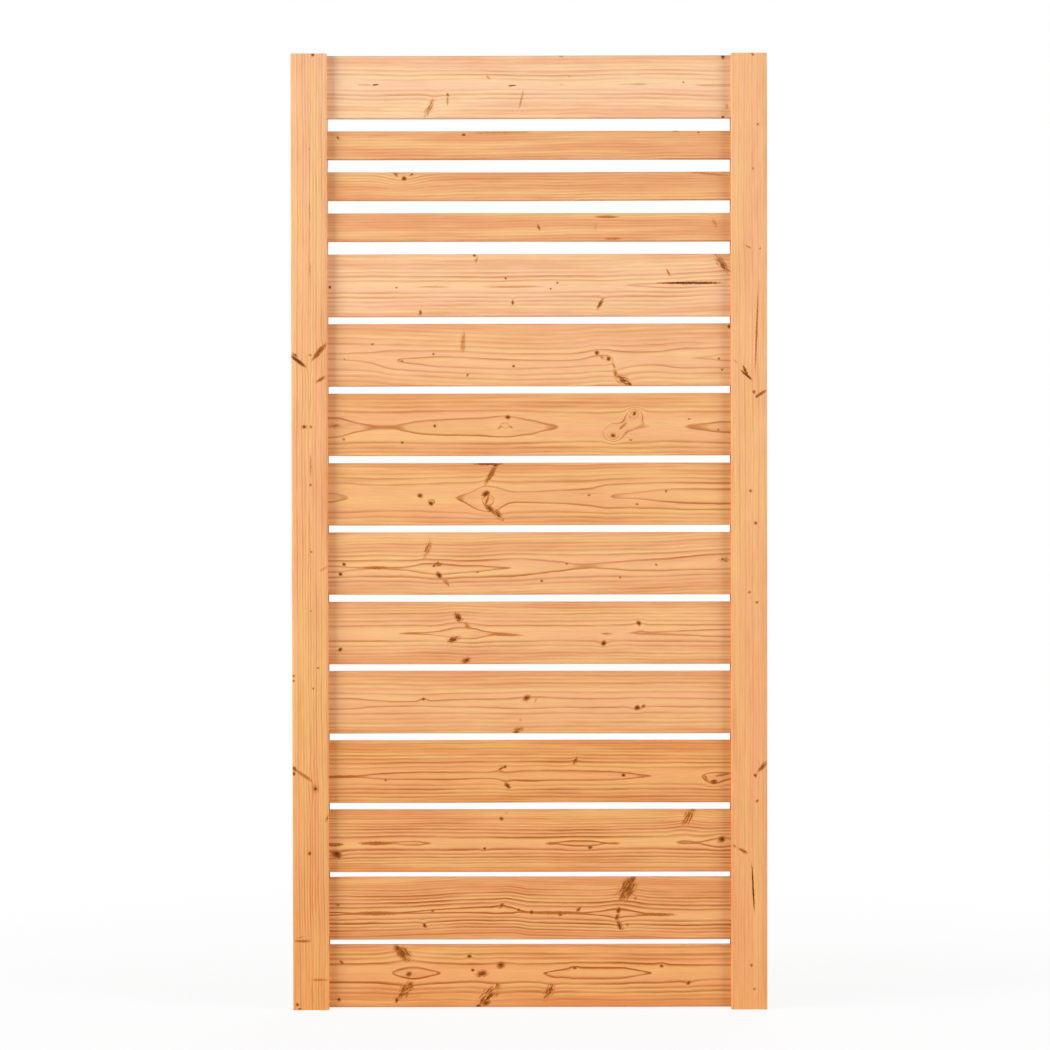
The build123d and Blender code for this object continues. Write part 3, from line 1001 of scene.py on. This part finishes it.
    # The planed fibres and the harder latewood stand a few hundredths of a millimetre proud
    relief = add(
        tree, "ShaderNodeMath",
        (lines.outputs["Late"], LATEWOOD_RELIEF, noises["fibre"]), operation="MULTIPLY_ADD",
    )
    bump = add(
        tree, "ShaderNodeBump",
        {"Strength": RELIEF_STRENGTH, "Distance": RELIEF, "Height": relief},
    )
    tree.links.new(bump.outputs[0], shader.inputs["Normal"])
    shader.inputs["Roughness"].default_value = 0.65
    shader.inputs["IOR"].default_value = 1.5
    shader.inputs["Specular IOR Level"].default_value = 0.12
    return material


def stainless_steel():
    """Stainless steel screws, cold formed and tumbled: a dull grey shine with fine scuffs."""
    material, tree = new_material("stainless_steel_screws")
    shader = tree.nodes["Principled BSDF"]
    scuff = add(
        tree, "ShaderNodeTexNoise",
        {"Vector": point_in_millimetres(tree), "Scale": 1 / SCUFF_SPAN_MM, "Detail": 3},
    )
    roughness = add(
        tree, "ShaderNodeMapRange",
        {"Value": scuff, "From Min": 0.3, "From Max": 0.7, "To Min": 0.46, "To Max": 0.62},
    )
    colour = add(
        tree, "ShaderNodeMix",
        {MIX_FACTOR: scuff, MIX_A: linear(LIGHT_STEEL), MIX_B: linear(DARK_STEEL)}, data_type="RGBA",
    )
    tree.links.new(colour.outputs[MIX_RESULT], shader.inputs["Base Color"])
    tree.links.new(roughness.outputs[0], shader.inputs["Roughness"])
    shader.inputs["Metallic"].default_value = 1.0
    return material


def screw_outline(tree, clearance):
    """The cones and cylinders of a screw on the Y axis, or with a clearance those of its hole."""
    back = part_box("left_stile")[1][1]
    head_top = back - SCREW_HEAD_SINK
    shank_top = head_top - SCREW_HEAD_HEIGHT
    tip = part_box("top_board")[0][1] + SCREW_FRONT_COVER
    point_top = tip + SCREW_POINT_LENGTH
    stretches = [
        (head_top, shank_top, SCREW_HEAD_RADIUS, SCREW_SHANK_RADIUS),
        (shank_top, point_top, SCREW_SHANK_RADIUS, SCREW_SHANK_RADIUS),
        (point_top, tip, SCREW_SHANK_RADIUS, SCREW_POINT_RADIUS),
    ]
    if clearance:
        stretches.append((back + SCREW_HEAD_SINK, head_top, SCREW_HEAD_RADIUS, SCREW_HEAD_RADIUS))
    joined = add(tree, "GeometryNodeJoinGeometry")
    for start, end, start_radius, end_radius in stretches:
        cone = add(
            tree, "GeometryNodeMeshCone",
            {
                "Vertices": SCREW_SIDES, "Radius Top": start_radius + clearance,
                "Radius Bottom": end_radius + clearance, "Depth": start - end,
            },
        )
        placed = add(
            tree, "GeometryNodeTransform",
            {"Geometry": cone, "Translation": (0, end, 0), "Rotation": (math.radians(-90), 0, 0)},
        )
        tree.links.new(placed.outputs[0], joined.inputs[0])
    return joined


def planed_timber_tree(grooved):
    """A planed bar with rounded long edges, bored and opened where its points mark screws and checks."""
    sockets = [
        ("Marks", "Geometry"), ("Start", "Vector"), ("End", "Vector"), ("Width", "Float"),
        ("Height", "Float"), ("Edge Radius", "Float"), ("Stations", "Int"), ("Crook", "Float"),
        ("Seed", "Float"), ("Groove Size", "Vector"), ("Groove Place", "Vector"), ("Wood", "Material"),
    ]
    name = "grooved stile" if grooved else "planed board"
    tree, given, result = new_tree(name, "GeometryNodeTree", sockets, [("Timber", "Geometry")])
    section = add(
        tree, "GeometryNodeCurvePrimitiveQuadrilateral",
        {"Width": given["Width"], "Height": given["Height"]},
    )
    rounded = add(
        tree, "GeometryNodeFilletCurve",
        {"Curve": section, "Count": EDGE_STEPS, "Radius": given["Edge Radius"]}, mode="POLY",
    )
    line = add(tree, "GeometryNodeCurvePrimitiveLine", {"Start": given["Start"], "End": given["End"]})
    stations = add(tree, "GeometryNodeResampleCurve", {"Curve": line, "Count": given["Stations"]})
    bar = add(
        tree, "GeometryNodeCurveToMesh",
        {"Curve": stations, "Profile Curve": rounded, "Fill Caps": True},
    )

    # A board is never quite straight
    position = add(tree, "GeometryNodeInputPosition")
    axes = add(tree, "ShaderNodeSeparateXYZ", (position,))
    reach = add(
        tree, "ShaderNodeMath",
        (axes.outputs["X"], 1 / CROOK_LENGTH, given["Seed"]), operation="MULTIPLY_ADD",
    )
    wander = add(
        tree, "ShaderNodeTexNoise", {"W": reach, "Scale": 1, "Detail": 0}, noise_dimensions="1D",
    )
    centred = add(tree, "ShaderNodeMath", (wander, 0.5), operation="SUBTRACT")
    lift = add(tree, "ShaderNodeMath", (centred, given["Crook"]), operation="MULTIPLY")
    offset = add(tree, "ShaderNodeCombineXYZ", {2: lift})
    timber = add(tree, "GeometryNodeSetPosition", {"Geometry": bar, "Offset": offset})

    # Cutters: a hole for each screw, a slender spindle for each check, and the groove of a stile
    is_screw = add(tree, "GeometryNodeInputNamedAttribute", {"Name": "screw"}, data_type="BOOLEAN")
    is_check = add(tree, "FunctionNodeBooleanMath", (is_screw,), operation="NOT")
    spread = add(tree, "GeometryNodeInputNamedAttribute", {"Name": "spread"}, data_type="FLOAT_VECTOR")
    lean = add(tree, "GeometryNodeInputNamedAttribute", {"Name": "lean"}, data_type="FLOAT_VECTOR")
    turn = add(tree, "FunctionNodeEulerToRotation", (lean,))
    spindle = add(tree, "GeometryNodeMeshUVSphere", {"Segments": 16, "Rings": 10, "Radius": 1})
    holes = add(
        tree, "GeometryNodeInstanceOnPoints",
        {
            "Points": given["Marks"], "Selection": is_screw,
            "Instance": screw_outline(tree, SCREW_HOLE_CLEARANCE),
        },
    )
    checks = add(
        tree, "GeometryNodeInstanceOnPoints",
        {
            "Points": given["Marks"], "Selection": is_check, "Instance": spindle, "Rotation": turn,
            "Scale": spread,
        },
    )
    cutters = [holes, checks]
    if grooved:
        groove = add(tree, "GeometryNodeMeshCube", {"Size": given["Groove Size"]})
        placed = add(
            tree, "GeometryNodeTransform",
            {"Geometry": groove, "Translation": given["Groove Place"]},
        )
        cutters.append(placed)
    for cutter in cutters:
        cut = add(tree, "GeometryNodeRealizeInstances", (cutter,))
        timber = add(
            tree, "GeometryNodeMeshBoolean",
            {"Mesh 1": timber, "Mesh 2": cut, "Self Intersection": True},
            operation="DIFFERENCE", solver="EXACT",
        )
    solid = add(tree, "GeometryNodeRealizeInstances", (timber,))
    finished = add(tree, "GeometryNodeSetMaterial", {"Geometry": solid, "Material": given["Wood"]})
    tree.links.new(finished.outputs[0], result.inputs[0])
    return tree


def screws_tree():
    """A countersunk screw with a six-lobed recess at each point."""
    tree, given, result = new_tree(
        "countersunk screws", "GeometryNodeTree",
        (
            ("Points", "Geometry"), ("Recess Radius", "Float"), ("Recess Depth", "Float"),
            ("Steel", "Material"),
        ),
        (("Screws", "Geometry"),),
    )
    head_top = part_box("left_stile")[1][1] - SCREW_HEAD_SINK
    star = add(
        tree, "GeometryNodeCurveStar",
        {
            "Points": RECESS_LOBES, "Inner Radius": RECESS_INNER_RADIUS,
            "Outer Radius": given["Recess Radius"],
        },
    )
    rounded = add(
        tree, "GeometryNodeFilletCurve",
        {"Curve": star, "Count": 2, "Radius": RECESS_FILLET, "Limit Radius": True}, mode="POLY",
    )
    floor_depth = add(tree, "ShaderNodeMath", (given["Recess Depth"], -1.0), operation="MULTIPLY")
    bottom = add(tree, "ShaderNodeCombineXYZ", {2: floor_depth})
    drive = add(
        tree, "GeometryNodeCurvePrimitiveLine",
        {"Start": bottom, "End": (0, 0, RECESS_CUTTER_RISE)},
    )
    driver = add(
        tree, "GeometryNodeCurveToMesh", {"Curve": drive, "Profile Curve": rounded, "Fill Caps": True},
    )
    placed = add(
        tree, "GeometryNodeTransform",
        {"Geometry": driver, "Translation": (0, head_top, 0), "Rotation": (math.radians(-90), 0, 0)},
    )
    screw = add(
        tree, "GeometryNodeMeshBoolean",
        {"Mesh 1": screw_outline(tree, 0.0), "Mesh 2": placed, "Self Intersection": True},
        operation="DIFFERENCE", solver="EXACT",
    )
    fixed = add(tree, "GeometryNodeInstanceOnPoints", {"Points": given["Points"], "Instance": screw})
    solid = add(tree, "GeometryNodeRealizeInstances", (fixed,))
    finished = add(tree, "GeometryNodeSetMaterial", {"Geometry": solid, "Material": given["Steel"]})
    tree.links.new(finished.outputs[0], result.inputs[0])
    return tree


def grown(name, points_mesh, tree, values):
    """A plain mesh object that a geometry tree makes on these points, with its inputs set by name."""
    source = new_object(name + "_points", points_mesh)
    modifier = source.modifiers.new(name, "NODES")
    modifier.node_group = tree
    for socket in tree.interface.items_tree:
        if socket.in_out == "INPUT" and socket.name in values:
            modifier[socket.identifier] = values[socket.name]
    seen = source.evaluated_get(bpy.context.evaluated_depsgraph_get())
    mesh = bpy.data.meshes.new_from_object(seen)
    source.modifiers.remove(modifier)
    bpy.data.objects.remove(source)
    mesh.name = name
    return new_object(name, mesh)


def screw_points(piece):
    """The points of a board's screws in each stile: one for a slat and two for a wide board."""
    low, high = (Vector(corner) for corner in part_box(piece))
    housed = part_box("left_stile")[1][0] - low.x
    levels = [(low.z + high.z) / 2]
    if not piece.startswith("slat"):
        levels = [low.z + SCREW_EDGE_DISTANCE, high.z - SCREW_EDGE_DISTANCE]
    ends = {"left_stile": low.x + housed / 2, "right_stile": high.x - housed / 2}
    return {stile: [Vector((x, 0, level)) for level in levels] for stile, x in ends.items()}


def marked_points(piece, screws):
    """The points of a piece's screws and checks, with the size and lean of each check."""
    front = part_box(piece)[0][1]
    cuts = TIMBERS[piece].cuts
    points = list(screws)
    spreads = [Vector((1, 1, 1))] * len(points)
    leans = [Vector()] * len(points)
    for cut in cuts:
        x, z = photo_place(piece, cut.x, cut.y)
        points.append(Vector((x * MM, front, z * MM)))
        spreads.append(Vector((cut.long / 2, cut.deep, cut.wide / 2)) * MM)
        leans.append(Vector((0, -math.radians(cut.lean), 0)))
    mesh = bpy.data.meshes.new(piece + "_points")
    mesh.from_pydata(points, [], [])
    flags = mesh.attributes.new("screw", "BOOLEAN", "POINT")
    flags.data.foreach_set("value", [index < len(screws) for index in range(len(points))])
    for name, vectors in (("spread", spreads), ("lean", leans)):
        layer = mesh.attributes.new(name, "FLOAT_VECTOR", "POINT")
        layer.data.foreach_set("vector", [part for vector in vectors for part in vector])
    return mesh


def hang(piece, node):
    """Puts a finished piece in the place of its CAD node."""
    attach(piece, "root")
    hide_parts(node)


def build_panel():
    """All the boards, stiles and screws."""
    rings = growth_rings()
    knot = knot_in_wood()
    board_tree = planed_timber_tree(grooved=False)
    stile_tree = planed_timber_tree(grooved=True)
    rows = [name for name in TIMBERS if not name.endswith("stile")]
    screws = {"left_stile": [], "right_stile": []}
    board_low, board_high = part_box("top_board")

    for seed, name in enumerate(rows):
        low, high = (Vector(corner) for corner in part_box(name))
        middle = (low + high) / 2
        sides = screw_points(name)
        for side, points in sides.items():
            screws[side] += points
        values = {
            "Start": (low.x, middle.y, middle.z), "End": (high.x, middle.y, middle.z),
            "Width": high.y - low.y, "Height": high.z - low.z, "Edge Radius": BOARD_EDGE_RADIUS,
            "Stations": STATIONS, "Crook": BOARD_CROOK * 2, "Seed": seed * CROOK_SEED_STEP,
            "Wood": planed_softwood(name, seed, rings, knot),
        }
        points = marked_points(name, sides["left_stile"] + sides["right_stile"])
        hang(grown(name + "_planed", points, board_tree, values), name)

    for seed, name in enumerate(("left_stile", "right_stile")):
        low, high = (Vector(corner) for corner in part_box(name))
        middle = (low + high) / 2
        inner_face = high.x if name == "left_stile" else low.x
        board_end = board_low[0] if name == "left_stile" else board_high[0]
        groove_depth = abs(inner_face - board_end) + GROOVE_END_CLEARANCE
        groove_width = board_high[1] - board_low[1] + 2 * GROOVE_SIDE_CLEARANCE
        values = {
            "Start": (middle.x, middle.y, low.z), "End": (middle.x, middle.y, high.z),
            "Width": high.x - low.x, "Height": high.y - low.y, "Edge Radius": STILE_EDGE_RADIUS,
            "Stations": STATIONS, "Crook": 0.0, "Seed": 0.0,
            "Groove Size": (2 * groove_depth, groove_width, 2 * (high.z - low.z)),
            "Groove Place": (inner_face, middle.y, middle.z),
            "Wood": planed_softwood(name, len(rows) + seed, rings, knot),
        }
        points = marked_points(name, screws[name])
        hang(grown(name + "_grooved", points, stile_tree, values), name)

    mesh = bpy.data.meshes.new("screw_points")
    mesh.from_pydata(screws["left_stile"] + screws["right_stile"], [], [])
    values = {"Recess Radius": RECESS_RADIUS, "Recess Depth": RECESS_DEPTH, "Steel": stainless_steel()}
    hang(grown("countersunk_screws", mesh, screws_tree(), values), "board_screws")


def seen_ray(tree):
    """1 for a ray that shows, be it straight, mirrored or refracted, and 0 for one that only lights."""
    path = add(tree, "ShaderNodeLightPath")
    glossy = add(
        tree, "ShaderNodeMath",
        (path.outputs["Is Camera Ray"], path.outputs["Is Glossy Ray"]), operation="MAXIMUM",
    )
    return add(
        tree, "ShaderNodeMath", (glossy, path.outputs["Is Transmission Ray"]), operation="MAXIMUM",
    )


def matt_white_paper():
    """Matt white paper, lit so evenly that it shows as white but keeps a soft shadow near the panel."""
    material, tree = new_material("matt_white_paper")
    tree.nodes.clear()
    coordinates = add(tree, "ShaderNodeTexCoord")
    away = add(
        tree, "ShaderNodeVectorMath", (coordinates.outputs["Object"],), operation="LENGTH",
    ).outputs["Value"]
    lit = add(
        tree, "ShaderNodeMapRange",
        {
            "Value": away, "From Min": FLOOR_NEAR, "From Max": FLOOR_FAR,
            "To Min": FLOOR_NEAR_WHITE, "To Max": 1,
        },
        interpolation_type="SMOOTHSTEP",
    )
    share = add(tree, "ShaderNodeMath", (seen_ray(tree), lit), operation="MULTIPLY")
    paper = add(tree, "ShaderNodeBsdfDiffuse", {"Color": linear(PAPER)})
    white = add(tree, "ShaderNodeEmission", {"Color": linear(WHITE), "Strength": 1.0})
    mixed = add(tree, "ShaderNodeMixShader", (share, paper, white))
    add(tree, "ShaderNodeOutputMaterial", {"Surface": mixed})
    return material


def build_floor():
    """A wide floor of paper under the panel."""
    half = FLOOR_HALF
    corners = [(-half, -half, 0), (half, -half, 0), (half, half, 0), (-half, half, 0)]
    mesh = bpy.data.meshes.new("studio_floor")
    mesh.from_pydata(corners, [], [(0, 1, 2, 3)])
    mesh.materials.append(matt_white_paper())
    floor = new_object("studio_floor", mesh)


def soft_lamp(name, place, width, watts):
    """A square soft box that points at the middle of the panel."""
    lamp = bpy.data.lights.new(name, "AREA")
    lamp.size = width
    lamp.energy = watts
    holder = new_object(name, lamp)
    holder.location = place
    holder.rotation_euler = (Vector(PANEL_MIDDLE) - Vector(place)).to_track_quat("-Z", "Y").to_euler()


def build_light():
    """Soft studio light, mostly from the left and above, and a white surround."""
    soft_lamp("key_soft_box", place=(-5.5, -2.56, 2.9), width=2.6, watts=347)
    soft_lamp("fill_soft_box", place=(5.5, -2.56, 2.4), width=2.6, watts=236)
    soft_lamp("back_soft_box", place=(1.5, 5.0, 2.6), width=2.5, watts=110)
    world = bpy.data.worlds.new("white_surround")
    world.use_nodes = True
    tree = world.node_tree
    tree.nodes.clear()
    ambient = add(tree, "ShaderNodeBackground", {"Color": linear(WHITE), "Strength": AMBIENT_STRENGTH})
    white = add(tree, "ShaderNodeBackground", {"Color": linear(WHITE), "Strength": 1.0})
    mixed = add(tree, "ShaderNodeMixShader", (seen_ray(tree), ambient, white))
    add(tree, "ShaderNodeOutputWorld", {"Surface": mixed})
    bpy.context.scene.world = world


def build_camera():
    """A long lens in front of the panel, a little above its middle, as in the photograph."""
    camera = bpy.data.cameras.new("photo_camera")
    camera.sensor_width = SENSOR_MM
    camera.lens = LENS_MM
    holder = new_object("photo_camera", camera)
    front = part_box("left_stile")[0][1]
    level = Euler((math.radians(90) - CAMERA_PITCH, 0, 0)).to_matrix()
    turn = level @ Matrix.Rotation(CAMERA_ROLL, 3, "Z")
    place = Matrix.Translation((CAMERA_ASIDE, front - CAMERA_DISTANCE, CAMERA_HEIGHT))
    holder.matrix_world = place @ turn.to_4x4()
    bpy.context.scene.camera = holder


build_panel()
build_floor()
build_light()
build_camera()
bpy.context.scene.view_settings.view_transform = "Standard"
